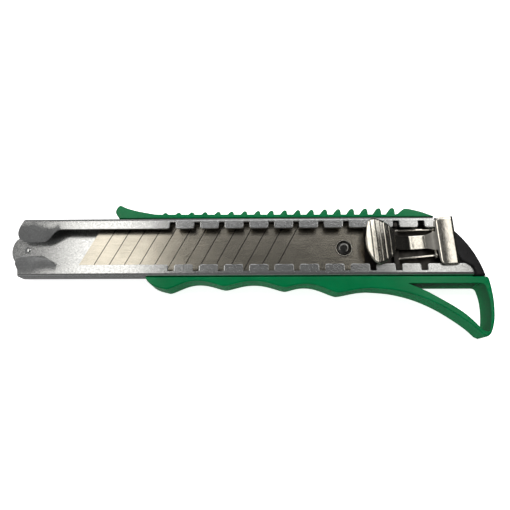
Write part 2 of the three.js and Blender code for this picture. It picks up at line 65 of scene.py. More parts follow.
BLADE_TIP_X = -63.1
BLADE_WIDTH = 18.0
SCORE_ANGLE = math.radians(62)
SCORE_PITCH = 5.36
SCORE_COUNT = 13

STUD_X = 31.4
SLIDER_YAW = math.radians(3.6)
CARRIER_BOTTOM, CARRIER_TOP, CARRIER_HALF = 4.9, 5.7, 7.0
FLANGE_TOP = 8.2
PIN_U, PIN_Z, PIN_RADIUS = 31.2, 7.2, 0.7
LEVER_SHEET = 0.8

HANDLE_FRONT = 9.2
BED_TOP = 3.6
RIDGE_COUNT = 18
RIDGE_PITCH = 4.67
FIRST_RIDGE_X = -31.1


# ---------- dimensions that only the visual model has ----------

# The radius of the sheet's middle at each fold. The CAD's folds are softer, at 0.95.
FOLD_RADIUS = 0.55
# How far the lips' corners are rounded beside each notch.
TAB_CORNER = 0.75
# Where the lever's cross plate starts, from the stud.
PLATE_START_U = 30.75
# The handle's inner edges, just outside the channel. The CAD's grip starts at -10.8.
GRIP_INNER, STRIP_INNER = -10.55, 10.55


# ---------- small maths ----------

def lerp(a, b, share):
    return a + (b - a) * share


def smoothstep(share):
    share = min(1.0, max(0.0, share))
    return share * share * (3 - 2 * share)


def catmull_rom(points, steps):
    """Points along a smooth curve through the given ones, ends included."""
    padded = [points[0], *points, points[-1]]
    spans = len(points) - 1
    curve = []
    for i in range(steps + 1):
        at = i / steps * spans
        span = min(int(at), spans - 1)
        t = at - span
        a, b, c, d = (np.array(p, float) for p in padded[span:span + 4])
        turn = 2 * a - 5 * b + 4 * c - d
        twist = 3 * b - a - 3 * c + d
        doubled = 2 * b + (c - a) * t + turn * t ** 2 + twist * t ** 3
        curve.append(tuple(doubled / 2))
    return curve


def rounded_corners(corners, steps=5):
    """A closed outline from corners (x, y, radius), each rounded over."""
    outline = []
    for i, (x, y, radius) in enumerate(corners):
        here = Vector((x, y))
        ends = []
        for other in (corners[i - 1], corners[(i + 1) % len(corners)]):
            step = Vector(other[:2]) - here
            ends.append(here + step.normalized() * min(radius, step.length * 0.49))
        for k in range(steps + 1):
            t = k / steps
            outline.append(tuple(ends[0] * (1 - t) ** 2 + here * 2 * t * (1 - t) + ends[1] * t ** 2))
    return outline


def without_doubles(outline, gap=0.02):
    """The closed outline without points that lie on the one before."""
    kept = []
    for point in outline:
        if not kept or math.dist(point, kept[-1]) > gap:
            kept.append(tuple(point))
    if math.dist(kept[0], kept[-1]) <= gap:
        kept.pop()
    return kept


def signed_area(outline):
    return sum(a[0] * b[1] - b[0] * a[1] for a, b in zip(outline, outline[1:] + outline[:1])) / 2


# ---------- mesh tools ----------

def make_piece(name, points, faces, material):
    """A new object from points in millimetres, its faces smooth and looking outwards."""
    mesh = bpy.data.meshes.new(name)
    mesh.from_pydata([tuple(c * MM for c in point) for point in points], [], faces)
    mesh.validate()
    shape = bmesh.new()
    shape.from_mesh(mesh)
    bmesh.ops.remove_doubles(shape, verts=shape.verts, dist=0.002 * MM)
    bmesh.ops.recalc_face_normals(shape, faces=shape.faces)
    shape.to_mesh(mesh)
    shape.free()
    mesh.polygons.foreach_set("use_smooth", [True] * len(mesh.polygons))
    mesh.materials.append(material)
    made = bpy.data.objects.new(name, mesh)
    bpy.context.scene.collection.objects.link(made)
    return made


def belongs(piece, body, node):
    """Puts a piece on its body and says which CAD node it stands in for."""
    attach(piece, body)
    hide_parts(node)
    return piece


def soften_edges(piece, width, segments=2, angle=40):
    """Small rounded edges, and shading that keeps the flat faces flat."""
    bevel = piece.modifiers.new("edge", "BEVEL")
    bevel.width = width * MM
    bevel.segments = segments
    bevel.limit_method = "ANGLE"
    bevel.angle_limit = math.radians(angle)
    even_shading(piece)


def even_shading(piece):
    normals = piece.modifiers.new("shading", "WEIGHTED_NORMAL")
    normals.keep_sharp = True
    normals.weight = 80


def thicken(piece, thickness, offset=0.0):
    """Makes a surface into sheet of the given thickness: half to each side, or all below at offset -1."""
    solid = piece.modifiers.new("sheet", "SOLIDIFY")
    solid.thickness = thickness * MM
    solid.offset = offset
    solid.use_even_offset = True


def sheet_grid(rows):
    """Points and faces of a surface from rows of equally many points."""
    width = len(rows[0])
    faces = []
    for i in range(len(rows) - 1):
        for j in range(width - 1):
            a = i * width + j
            faces.append((a, a + 1, a + width + 1, a + width))
    return [point for row in rows for point in row], faces


def inward_normals(outline):
    """The mitred normal at each outline point, pointing to the left of its direction of travel."""
    points = np.array(outline)
    travel = np.roll(points, -1, axis=0) - points
    travel /= np.linalg.norm(travel, axis=1)[:, None]
    left = np.column_stack([-travel[:, 1], travel[:, 0]])
    before = np.roll(left, 1, axis=0)
    mitre = left + before
    mitre /= np.linalg.norm(mitre, axis=1)[:, None]
    stretch = 1 / np.clip((mitre * left).sum(axis=1), 0.6, 1)
    return mitre * stretch[:, None]


def rim_levels(z0, z1, top, bottom, steps):
    """The rings of a plate with rounded rims, from its lower face up, as (inset, z)."""
    angles = [k / steps * math.pi / 2 for k in range(steps + 1)]
    lower = [(bottom * (1 - math.sin(a)), z0 + bottom * (1 - math.cos(a))) for a in angles]
    upper = [(top * (1 - math.cos(a)), z1 - top * (1 - math.sin(a))) for a in angles]
    return lower + upper


def rounded_prism(loops, z0, z1, top=0.4, bottom=0.4, steps=4, hole_rim=0.2, draft=0.0):
    """Points and faces of a plate with rounded rims. The first loop is its outline, the others are holes.

    The draft narrows each hole towards its lower rim.
    """
    points, faces, caps = [], [], []
    for index, loop in enumerate(loops):
        is_hole = index > 0
        loop = without_doubles(loop)
        if (signed_area(loop) > 0) == is_hole:
            loop = loop[::-1]
        base = np.array(loop)
        inward = inward_normals(loop)
        rims = (hole_rim, hole_rim) if is_hole else (top, bottom)
        levels = rim_levels(z0, z1, *rims, steps)
        count = len(loop)
        first = len(points)
        for inset, z in levels:
            narrowing = draft * (z1 - z) / (z1 - z0) if is_hole else 0
            points += [(x, y, z) for x, y in base + inward * (inset - narrowing)]
        for level in range(len(levels) - 1):
            for i in range(count):
                a = first + level * count + i
                b = first + level * count + (i + 1) % count
                faces.append((a, b, b + count, a + count))
        caps.append((first, first + (len(levels) - 1) * count, count))
    for end in (0, 1):
        order = [cap[end] + i for cap in caps for i in range(cap[2])]
        rings = [[points[cap[end] + i] for i in range(cap[2])] for cap in caps]
        faces += [tuple(order[i] for i in triangle) for triangle in filled(rings)]
    return points, faces


def filled(rings):
    """Triangles that cover the area between level closed rings, as indices into all their points."""
    flat = bmesh.new()
    edges = []
    for ring in rings:
        corners = [flat.verts.new((point[0], point[1], 0)) for point in ring]
        edges += [flat.edges.new(pair) for pair in zip(corners, corners[1:] + corners[:1])]
    flat.verts.index_update()
    bmesh.ops.triangle_fill(flat, edges=edges, use_beauty=True, use_dissolve=False)
    triangles = [[vertex.index for vertex in face.verts] for face in flat.faces]
    flat.free()
    return triangles


def revolve(profile, sides=40):
    """Points and faces of a shape turned about Z, from (radius, z) pairs."""
    points = []
    for radius, z in profile:
        for i in range(sides):
            angle = 2 * math.pi * i / sides
            points.append((radius * math.cos(angle), radius * math.sin(angle), z))
    faces = []
    for ring in range(len(profile) - 1):
        for i in range(sides):
            j = (i + 1) % sides
            low, high = ring * sides, (ring + 1) * sides
            faces.append((low + i, low + j, high + j, high + i))
    return points, faces


def moved(points, matrix):
    """The points, moved by the matrix."""
    return [tuple(matrix @ Vector(point)) for point in points]


def united(name, shapes, material):
    """One closed object from several overlapping closed ones."""
    parts = [make_piece(f"{name}_{i}", *shape, material) for i, shape in enumerate(shapes)]
    whole = parts[0]
    for part in parts[1:]:
        union = whole.modifiers.new("union", "BOOLEAN")
        union.operation = "UNION"
        union.solver = "EXACT"
        union.object = part
    graph = bpy.context.evaluated_depsgraph_get()
    mesh = bpy.data.meshes.new_from_object(whole.evaluated_get(graph))
    for part in parts:
        bpy.data.objects.remove(part)
    made = bpy.data.objects.new(name, mesh)
    bpy.context.scene.collection.objects.link(made)
    mesh.polygons.foreach_set("use_smooth", [True] * len(mesh.polygons))
    mesh.name = name
    return made


SLIDER = Matrix.Translation((STUD_X, 0, 0)) @ Matrix.Rotation(SLIDER_YAW, 4, "Z")


# ---------- materials ----------

class Nodes:
    """A short way to write a material's node tree."""

    def __init__(self, name):
        self.material = bpy.data.materials.new(name)
        self.material.use_nodes = True
        self.tree = self.material.node_tree
        self.shader = self.tree.nodes["Principled BSDF"]
        self.place = self.tree.nodes.new("ShaderNodeTexCoord").outputs["Object"]

    def link(self, source, target):
        self.tree.links.new(source, target)

    def stretched(self, scale, turn=0.0):
        """The object's coordinates, turned about Z and scaled."""
        mapping = self.tree.nodes.new("ShaderNodeMapping")
        mapping.inputs["Rotation"].default_value = (0, 0, turn)
        mapping.inputs["Scale"].default_value = scale
        self.link(self.place, mapping.inputs["Vector"])
        return mapping.outputs["Vector"]

    def noise(self, size, detail=3.0, roughness=0.55, vector=None):
        """Noise whose features are about size millimetres wide."""
        node = self.tree.nodes.new("ShaderNodeTexNoise")
        node.inputs["Scale"].default_value = 1 / (size * MM)
        node.inputs["Detail"].default_value = detail
        node.inputs["Roughness"].default_value = roughness
        self.link(vector or self.place, node.inputs["Vector"])
        return node.outputs["Fac"]

    def spread(self, source, low, high, start=0.3, end=0.7):
        """The source, stretched from start..end to low..high."""
        node = self.tree.nodes.new("ShaderNodeMapRange")
        for name, value in (("From Min", start), ("From Max", end), ("To Min", low), ("To Max", high)):
            node.inputs[name].default_value = value
        self.link(source, node.inputs["Value"])
        return node.outputs["Result"]

    def math(self, operation, first, second):
        """The result of a maths node on two sockets or numbers."""
        node = self.tree.nodes.new("ShaderNodeMath")
        node.operation = operation
        for value, socket in zip((first, second), node.inputs):
            if isinstance(value, (int, float)):
                socket.default_value = value
            else:
                self.link(value, socket)
        return node.outputs["Value"]

    def ramp(self, source, *stops):
        """Colour for the source, from (position, colour) stops."""
        node = self.tree.nodes.new("ShaderNodeValToRGB")
        elements = node.color_ramp.elements
        while len(elements) < len(stops):
            elements.new(0.5)
        for element, (position, colour) in zip(elements, stops):
            element.position = position
            element.color = (*colour, 1)
        self.link(source, node.inputs["Fac"])
        return node.outputs["Color"]

    def bump(self, height, distance, strength=1.0):
        """Small relief of the given height, its distance in millimetres."""
        node = self.tree.nodes.new("ShaderNodeBump")
        node.inputs["Strength"].default_value = strength
        node.inputs["Distance"].default_value = distance * MM
        self.link(height, node.inputs["Height"])
        self.link(node.outputs["Normal"], self.shader.inputs["Normal"])

    def colour(self, source):
        self.link(source, self.shader.inputs["Base Color"])

    def roughness(self, source, low, high):
        self.link(self.spread(source, low, high), self.shader.inputs["Roughness"])

    def metal(self, share=1):
        self.shader.inputs["Metallic"].default_value = share


def tone(colour, share):
    """The colour, darker or lighter by the given factor."""
    return tuple(channel * share for channel in colour)


def zinc_sheet():
    """Rolled zinc-plated sheet with a fine spangle."""
    nodes = Nodes("zinc_sheet_finish")
    zinc = (0.66, 0.665, 0.66)
    spangle = nodes.noise(0.6, detail=6, roughness=0.8)
    nodes.colour(nodes.ramp(spangle, (0.36, tone(zinc, 0.8)), (0.5, zinc), (0.66, tone(zinc, 1.18))))
    nodes.metal(0.93)
    nodes.roughness(nodes.noise(0.5, detail=4), 0.14, 0.26)
    rolled = nodes.noise(0.35, detail=3, vector=nodes.stretched((0.25, 1, 1)))
    nodes.bump(rolled, 0.015, 0.18)
    return nodes.material


def blade_steel():
    """Ground steel, with painted shade nearly black along the grooves where the score lines are cut."""
    nodes = Nodes("blade_steel_finish")
    steel = (0.62, 0.575, 0.485)
    ground = nodes.noise(0.16, detail=3, roughness=0.6, vector=nodes.stretched((0.03, 1, 1)))
    stain = nodes.noise(7.0, detail=4)
    colour = nodes.ramp(stain, (0.35, tone(steel, 0.92)), (0.65, tone(steel, 1.05)))
    # Painted shade: the score-line grooves are coloured nearly black.
    lines = nodes.tree.nodes.new("ShaderNodeMix")
    lines.data_type = "RGBA"
    lines.inputs["B"].default_value = (0.09, 0.083, 0.075, 1)
    nodes.link(score_groove_shade_mask(nodes), lines.inputs["Factor"])
    nodes.link(colour, lines.inputs["A"])
    nodes.colour(lines.outputs["Result"])
    nodes.metal()
    nodes.roughness(ground, 0.18, 0.27)
    nodes.bump(ground, 0.008, 0.2)
    return nodes.material


def score_groove_shade_mask(nodes):
    """One on the blade's score lines, where the grooves' shade is painted, and zero between them."""
    across = nodes.tree.nodes.new("ShaderNodeVectorMath")
    across.operation = "DOT_PRODUCT"
    across.inputs[1].default_value = (math.sin(SCORE_ANGLE) / MM, -math.cos(SCORE_ANGLE) / MM, 0)
    nodes.link(nodes.place, across.inputs[0])
    pitch = SCORE_PITCH * math.sin(SCORE_ANGLE)
    first = BLADE_TIP_X * math.sin(SCORE_ANGLE) + BLADE_WIDTH / 2 * math.cos(SCORE_ANGLE) + pitch
    from_first = nodes.math("SUBTRACT", across.outputs["Value"], first)
    to_line = nodes.math("PINGPONG", from_first, pitch / 2)
    on_line = nodes.spread(to_line, 1, 0, 0.07, 0.2)
    after_start = nodes.math("GREATER_THAN", from_first, -pitch / 2)
    before_end = nodes.math("LESS_THAN", from_first, pitch * (SCORE_COUNT - 0.5))
    return nodes.math("MULTIPLY", nodes.math("MULTIPLY", on_line, after_start), before_end)


def chrome_plate():
    """Warm, slightly uneven plating."""
    nodes = Nodes("chrome_plate_finish")
    chrome = (0.86, 0.82, 0.73)
    cloud = nodes.noise(2.2, detail=5, roughness=0.6)
    nodes.colour(nodes.ramp(cloud, (0.3, tone(chrome, 0.86)), (0.6, chrome)))
    nodes.metal()
    nodes.roughness(nodes.noise(0.7, detail=4), 0.1, 0.18)
    nodes.bump(nodes.noise(1.8, detail=3), 0.05, 0.4)
    return nodes.material


def spring_steel():
    nodes = Nodes("spring_steel_finish")
    steel = (0.34, 0.33, 0.31)
    drawn = nodes.noise(0.3, detail=4, vector=nodes.stretched((0.1, 1, 1)))
    nodes.colour(nodes.ramp(drawn, (0.35, tone(steel, 0.8)), (0.65, tone(steel, 1.15))))
    nodes.metal()
    nodes.roughness(drawn, 0.28, 0.42)
    return nodes.material


def painted_shade_steel():
    """Steel painted nearly black inside the slider as painted shade, with a random mottle in its tone."""
    nodes = Nodes("painted_shade_steel_finish")
    steel = (0.075, 0.07, 0.064)
    mottle = nodes.noise(1.6, detail=4)
    nodes.colour(nodes.ramp(mottle, (0.3, tone(steel, 0.6)), (0.7, tone(steel, 1.4))))
    nodes.metal()
    nodes.roughness(nodes.noise(0.8), 0.3, 0.5)
    return nodes.material


def polished_dark_steel():
    nodes = Nodes("polished_dark_steel_finish")
    steel = (0.24, 0.235, 0.225)
    cloud = nodes.noise(1.2, detail=4)
    nodes.colour(nodes.ramp(cloud, (0.3, tone(steel, 0.85)), (0.7, tone(steel, 1.1))))
    nodes.metal()
    nodes.roughness(nodes.noise(0.8), 0.1, 0.17)
    return nodes.material


def green_plastic():
    nodes = Nodes("green_plastic_finish")
    green = (0.0004, 0.172, 0.054)
    flow = nodes.noise(9.0, detail=3)
    nodes.colour(nodes.ramp(flow, (0.3, tone(green, 0.88)), (0.7, tone(green, 1.1))))
    nodes.shader.inputs["Specular IOR Level"].default_value = 0.22
    nodes.roughness(nodes.noise(1.5, detail=4), 0.14, 0.22)
    nodes.bump(nodes.noise(0.8, detail=3), 0.01, 0.12)
    return nodes.material


def black_plastic():
    nodes = Nodes("black_plastic_finish")
    black = (0.01, 0.0097, 0.0104)
    nodes.colour(nodes.ramp(nodes.noise(3.0), (0.3, tone(black, 0.8)), (0.7, tone(black, 1.3))))
    nodes.shader.inputs["Specular IOR Level"].default_value = 0.3
    nodes.roughness(nodes.noise(0.6, detail=4), 0.26, 0.4)
    nodes.bump(nodes.noise(0.35, detail=3), 0.015, 0.3)
    return nodes.material


ZINC = zinc_sheet()
BLADE = blade_steel()
CHROME = chrome_plate()
SPRING = spring_steel()
DARK_RIVET = polished_dark_steel()
PAINTED_SHADE = painted_shade_steel()
GREEN = green_plastic()
BLACK = black_plastic()


# ---------- blade channel ----------

SIDE = CHANNEL_HALF - SHEET / 2
FOLD_Y = SIDE - FOLD_RADIUS
FLOOR_MID = CHANNEL_BOTTOM + SHEET / 2
LIP_MID = LIP_TOP - SHEET / 2
LIP_LINES = (NOTCH_END, 8.5, 8.15, 7.8, 7.5, 7.2, 6.95, 6.7, LIP_EDGE)


def channel_half_line():
    """The sheet's middle line from the floor's centre to a flat lip, as (y, z, share of the lip)."""
    floor_steps, fold_steps, side_steps = 12, 7, 3
    low, high = FLOOR_MID + FOLD_RADIUS, LIP_MID - FOLD_RADIUS
    line = [(FOLD_Y * i / floor_steps, FLOOR_MID, 0) for i in range(floor_steps)]
    for i in range(fold_steps + 1):
        angle = -math.pi / 2 * (1 - i / fold_steps)
        line.append((FOLD_Y + FOLD_RADIUS * math.cos(angle), low + FOLD_RADIUS * math.sin(angle), 0))
    line += [(SIDE, lerp(low, high, i / side_steps), 0) for i in range(1, side_steps)]
    for i in range(fold_steps + 1):
        angle = i / fold_steps * math.pi / 2
        line.append((FOLD_Y + FOLD_RADIUS * math.cos(angle), high + FOLD_RADIUS * math.sin(angle), 0))
    line += [(y, LIP_MID, (FOLD_Y - y) / (FOLD_Y - LIP_EDGE)) for y in LIP_LINES]
    return line


# The sheet's cut ends, as (y, x): the floor's rounded tongue between two shoulders, the nose flaps
# with their rounded inner corners, and the slanted rear.
FLOOR_FRONT = (
    (-10.3, -80.7), (-9, -80.9), (-7.2, -81.8), (-5.6, -82.8), (-4.9, -83.7), (-4.3, -84.6),
    (-3.2, -85.5), (-1.6, -86.2), (0.2, -86.45), (2, -86.2), (3.3, -85.7), (4.3, -85),
    (4.9, -84.1), (5.5, -83.1), (7.4, -82), (9, -81), (10.3, -80.2),
)
FLAP_FRONT = (
    (-10.3, -81), (-8.6, -81), (-7.2, -81.9), (-5.8, -82.8), (-4.6, -83), (-3.6, -82.7), (-3.1, -82.2),
    (-2.75, -81.4), (2.75, -80.9), (3.2, -81.9), (4, -82.7), (4.8, -83), (6, -82.9), (7.4, -82.3),
    (8.6, -81.6), (10.3, -80.3),
)
REAR_END = (
    (-10.3, 74.1), (-9.8, 74), (-8.6, 73.7), (-7.7, 73.2), (-7, 72.2), (-6.2, 70.9), (-5, 69.7),
    (8, 62.7), (9.2, 62), (10.3, 61.5),
)


def on_curve(curve, at):
    """The second value of a curve of pairs where its first is at."""
    firsts, seconds = zip(*curve)
    return float(np.interp(at, firsts, seconds))


def channel_columns():
    """X stations between the shaped front end and the shaped rear end."""
    press_steps = 12
    corner_steps = [step / 3 for step in range(4)]
    stations = [-78.5, -77, -75.6]
    stations += [lerp(FLAP_FULL_X, FLAP_START_X, i / press_steps) for i in range(press_steps + 1)]
    stations += [-64.0 + 4.5 * i for i in range(8)]
    for index in range(NOTCH_COUNT):
        centre = FIRST_NOTCH_X + index * NOTCH_PITCH
        stations += [centre - NOTCH_HALF - TAB_CORNER * step for step in reversed(corner_steps)]
        stations += [centre + NOTCH_HALF + TAB_CORNER * step for step in corner_steps]
        if index < NOTCH_COUNT - 1:
            stations.append(centre + NOTCH_PITCH / 2)
    return stations


def rounded_tab(x, depth):
    """Moves a point near a tab's free corner onto the corner's arc. Depth is from the lip's edge."""
    for index in range(NOTCH_COUNT):
        for side in (-1, 1):
            edge = FIRST_NOTCH_X + index * NOTCH_PITCH + side * NOTCH_HALF
            across = 1 - side * (x - edge) / TAB_CORNER
            down = 1 - depth / TAB_CORNER
            if 0 < across <= 1.0001 and 0 < down <= 1.0001:
                new_across = across * math.sqrt(max(0.0, 1 - down ** 2 / 2))
                new_down = down * math.sqrt(max(0.0, 1 - across ** 2 / 2))
                return edge + side * TAB_CORNER * (1 - new_across), TAB_CORNER * (1 - new_down)
    return x, depth


def lip_point(nominal, y, z, pressed, can_round):
    """A point of the lip, rounded at a tab's corner and pressed down near the nose."""
    x, depth = nominal, abs(y) - LIP_EDGE
    if can_round and depth < TAB_CORNER:
        x, depth = rounded_tab(nominal, depth)
    flat_y = LIP_EDGE + depth
    lip_share = (FOLD_Y - flat_y) / (FOLD_Y - LIP_EDGE)
    crease = lerp(1.1, 2.6, smoothstep((nominal + 82) / 12))
    pressed_y = lerp(flat_y, lerp(FOLD_Y, FLAP_EDGE, lip_share), pressed)
    return x, math.copysign(pressed_y, y), z - FLAP_DROP * pressed * lip_share ** crease


def in_a_notch(x):
    """Whether the middle x of a column of faces lies in a notch."""
    nearest = round((x - FIRST_NOTCH_X) / NOTCH_PITCH)
    return nearest >= 0 and abs(x - FIRST_NOTCH_X - nearest * NOTCH_PITCH) < 0.1


def channel_shape():
    """The folded sheet's middle surface, with the lips cut away in the notches."""
    half = channel_half_line()
    line = [(-y, z, share) for y, z, share in half[:0:-1]] + half
    columns = channel_columns()
    end_steps = (0.2, 0.4, 0.6, 0.78, 0.9, 0.97, 1.0)
    stations = [("front", share) for share in reversed(end_steps)]
    stations += [("x", x) for x in columns]
    stations += [("rear", share) for share in end_steps]
    rows = []
    for kind, value in stations:
        nominal = {"front": columns[0], "rear": columns[-1], "x": value}[kind]
        pressed = 1 - smoothstep((nominal - FLAP_FULL_X) / (FLAP_START_X - FLAP_FULL_X))
        row = []
        for y, z, share in line:
            x = nominal
            if share > 0:
                x, y, z = lip_point(nominal, y, z, pressed, kind == "x")
            if kind == "front":
                x = lerp(nominal, on_curve(FLAP_FRONT if z > FLOOR_TOP + 1 else FLOOR_FRONT, y), value)
            if kind == "rear":
                x = lerp(nominal, on_curve(REAR_END, y), value)
            row.append((x, y, z))
        rows.append(row)
    points, faces = sheet_grid(rows)
    kept = []
    for index, face in enumerate(faces):
        i, j = divmod(index, len(line) - 1)
        (kind, x), (next_kind, next_x) = stations[i:i + 2]
        on_lip = min(line[j][2], line[j + 1][2]) > 0
        if not (on_lip and kind == next_kind == "x" and in_a_notch((x + next_x) / 2)):
            kept.append(face)
    return points, kept


def blade_channel():
    shell = make_piece("channel_shell", *channel_shape(), ZINC)
    thicken(shell, SHEET)
    soften_edges(shell, 0.2, segments=2, angle=50)
    belongs(shell, "frame", "blade_channel")
    nose_bead()


def nose_bead():
    """A plain raised bead pressed into the floor between the flaps."""
    radius, rise, base, root = 1.3, 0.3, FLOOR_TOP - 0.05, FLOOR_TOP - 0.3
    centre = Matrix.Translation((-80.9, 0.3, 0))
    angles = [i / 10 * math.pi / 2 for i in range(11)]
    profile = [(radius * math.sin(angle), base + rise * math.cos(angle) ** 1.5) for angle in angles]
    profile += [(radius, root), (0.0, root)]
    points, faces = revolve(profile)
    bead = make_piece("nose_bead", moved(points, centre), faces, ZINC)
    even_shading(bead)
    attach(bead, "frame")


# ---------- handle ----------

# Crests and valleys of the finger grooves, as (x, y), from the front.
GRIP_EXTREMES = (
    (-29.6, -14.9), (-19.3, -11.9), (-9.9, -13.8), (0, -12.05),
    (10.8, -14.3), (17.5, -13.1), (28.6, -16.2), (39.6, -14.65),
)


def grip_wave():
    """Finger grooves that stay near each valley for longer than near each crest."""
    steps = 14
    points = []
    for (x0, y0), (x1, y1) in zip(GRIP_EXTREMES, GRIP_EXTREMES[1:]):
        leaves_crest = y0 < y1
        crest, valley = sorted((y0, y1))
        for step in range(steps):
            share = step / steps
            from_crest = (share if leaves_crest else 1 - share) ** 0.75
            rise = (1 - math.cos(math.pi * from_crest)) / 2
            points.append((lerp(x0, x1, share), lerp(crest, valley, rise)))
    return points


def strip_edge(x):
    """Y of the outer edge of the strip above the channel, between its ridges."""
    return lerp(11.95, 11.35, (x + 35) / 85)


def ridge(index):
    """One ridge of the strip: low and round at the front, tall and saw-toothed at the rear."""
    share = index / (RIDGE_COUNT - 1)
    top = FIRST_RIDGE_X + index * RIDGE_PITCH
    height = lerp(0.6, 2.4, share)
    front_run, back_run = lerp(0.95, 2.3, share), 0.85
    front_steps, back_steps = 7, 6
    outline = []
    for i in range(front_steps + 1):
        climb = math.sin(i / front_steps * math.pi / 2) ** lerp(1.2, 1.0, share)
        outline.append((top - front_run * (1 - i / front_steps), height * climb))
    for i in range(1, back_steps + 1):
        angle = i / back_steps * math.pi / 2
        outline.append((top + back_run * math.sin(angle) ** 0.8, height * math.cos(angle) ** 0.8))
    return [(x, strip_edge(x) + y) for x, y in outline]


def strip_outline():
    front_lip = catmull_rom([
        (-47.4, STRIP_INNER), (-48.75, 13), (-47.4, 15.3), (-44.8, 14.35), (-40.8, 13.2), (-34.7, 12),
    ], 30)
    ridges = [point for index in range(RIDGE_COUNT) for point in ridge(index)]
    hump = catmull_rom([(50.2, 11.7), (51.6, 12.9), (53.2, 13.45), (57.8, 12.35), (61.2, 11.05)], 20)
    return [*front_lip, *ridges, *hump, (62.4, STRIP_INNER)]


def grip_outline():
    start = catmull_rom([(-36.2, -12.0), (-34.9, -13.1), (-32.8, -14.1), GRIP_EXTREMES[0]], 9)[:-1]
    sweep = catmull_rom([
        GRIP_EXTREMES[-1], (47.5, -15.4), (55.7, -17.6), (63.6, -21.4), (71.3, -26.7), (75, -30.2),
    ], 30)
    tail = catmull_rom([
        (76.3, -30.8), (77.8, -29.5), (79.2, -25.4), (79.7, -20), (79.5, -15.5), (79.0, -11.8),
    ], 28)
    corner = [(78.7, -11.0), (78.1, -10.75), (73.6, -10.75), (73.2, GRIP_INNER)]
    return [(-37.1, GRIP_INNER), *start, *grip_wave(), *sweep, *tail, *corner]


# The hole of the tail loop, as corners (x, y, radius).
LOOP_CORNERS = (
    (52, -13.1, 0.4), (77.2, -13.1, 1.5), (78.35, -17.5, 3), (78.4, -23, 3), (77.4, -29.3, 1.6),
    (75.4, -29, 1.2), (70.7, -23.7, 3), (66, -20.4, 2), (58, -15.7, 1.5),
)


def handle():
    """The grip with its tail loop, the ridged strip, and the bed that joins them under the channel."""
    grip = rounded_prism([grip_outline(), rounded_corners(LOOP_CORNERS, 8)], 0, HANDLE_FRONT,
                         top=0.42, bottom=0.42, steps=5, hole_rim=0.2, draft=0.2)
    strip = rounded_prism([strip_outline()], 0, HANDLE_FRONT, top=0.22, bottom=0.3, steps=3)
    bed_outline = [(-46.6, 11), (-36.7, -11), (73.4, -11), (72.6, -7.2), (69, -5), (61.8, 9), (60.5, 11)]
    bed = rounded_prism([bed_outline], 0.03, BED_TOP, top=0.1, bottom=0.1, steps=2)
    shell = united("handle_shell", [grip, strip, bed], GREEN)
    even_shading(shell)
    belongs(shell, "frame", "handle_body")


# ---------- end cap ----------

def end_cap():
    """The curved cover behind the channel's slant, and the plug that enters the channel."""
    centre, radius, bottom = Vector((45.8, -18.3)), 33.15, -10.5
    arc_steps = 24
    start = math.atan2(10.2 - centre.y, 62.8 - centre.x)
    end = math.asin((bottom - centre.y) / radius)
    angles = [lerp(start, end, i / arc_steps) for i in range(arc_steps + 1)]
    arc = [(centre.x + radius * math.cos(a), centre.y + radius * math.sin(a)) for a in angles]
    slant = [(74.45, bottom), (74.45, -9.4), (73.65, -7.4), (70.25, -5.4), (62.65, 8.8)]
    cover = rounded_prism([slant + arc], 0.4, 9.3, top=0.7, bottom=0.5, steps=4)
    plug_outline = [(67.4, -9.1), (75.4, -9.1), (75.4, -6), (70, 0.8), (67.4, 0.8)]
    plug = rounded_prism([plug_outline], 5.0, 8.75, top=0.2, bottom=0.2, steps=2)
    shell = united("cap_shell", [cover, plug], BLACK)
    even_shading(shell)
    belongs(shell, "cap", "end_cap")


# ---------- slider ----------

# The slider's pieces are drawn in u along the slider, from the stud, and v across it.
TAB_ENDS = (6.62, 16.95)
TAB_TOP = 12.43
TAB_ROLL = 0.44
RIB_HEIGHT, RIB_HALF = 0.1, 0.12
TAB_RIB_START, TAB_RIB_PITCH, TAB_RIB_COUNT = 8.8, 1.6, 5
TAB_LOW_EDGE = (
    (6.62, -0.6), (6.75, -1.6), (7.2, -3.5), (8.0, -5.3), (9.0, -6.75), (9.8, -7.35), (10.6, -7.55),
    (11.6, -7.45), (12.8, -7.0), (14.2, -6.2), (15.5, -5.1), (16.1, -4.0), (16.5, -2.5), (16.8, -0.6),
    (16.95, 1.2),
)
TAB_HIGH_EDGE = (
    (6.62, 0.8), (6.95, 2.6), (7.3, 4.5), (7.7, 6.3), (8.2, 7.7), (9.2, 8.35), (10.4, 8.5),
    (11.8, 8.2), (13.3, 7.5), (14.8, 6.4), (16.2, 5.05), (16.7, 4.1), (16.95, 2.6),
)


def tab_stations():
    """U stations of the thumb tab, close together on its ribs and at its ends."""
    steps = 44
    stations = {round(lerp(*TAB_ENDS, smoothstep(i / steps)), 3) for i in range(steps + 1)}
    for rib in range(TAB_RIB_COUNT):
        middle = TAB_RIB_START + rib * TAB_RIB_PITCH
        stations |= {round(middle + step * 0.05, 3) for step in range(-3, 4)}
    return sorted(stations)


def tab_height(u, v, to_rim):
    """Z of the thumb tab's top: it curves down behind, with thin cross ribs and a rolled rim."""
    behind = u - TAB_ENDS[0]
    fall = 0.06 * behind + 0.0085 * behind ** 2
    crown = TAB_TOP - fall - 0.003 * (v - 0.5) ** 2
    from_ribs = [abs(u - TAB_RIB_START - i * TAB_RIB_PITCH) for i in range(TAB_RIB_COUNT)]
    rib = max(0.0, 1 - min(from_ribs) / RIB_HALF) * smoothstep((to_rim - 0.5) / 0.5)
    rim = 0.0
    if to_rim < TAB_ROLL:
        rim = TAB_ROLL - math.sqrt(max(0.0, TAB_ROLL ** 2 - (TAB_ROLL - to_rim) ** 2))
    return crown - rim + RIB_HEIGHT * rib


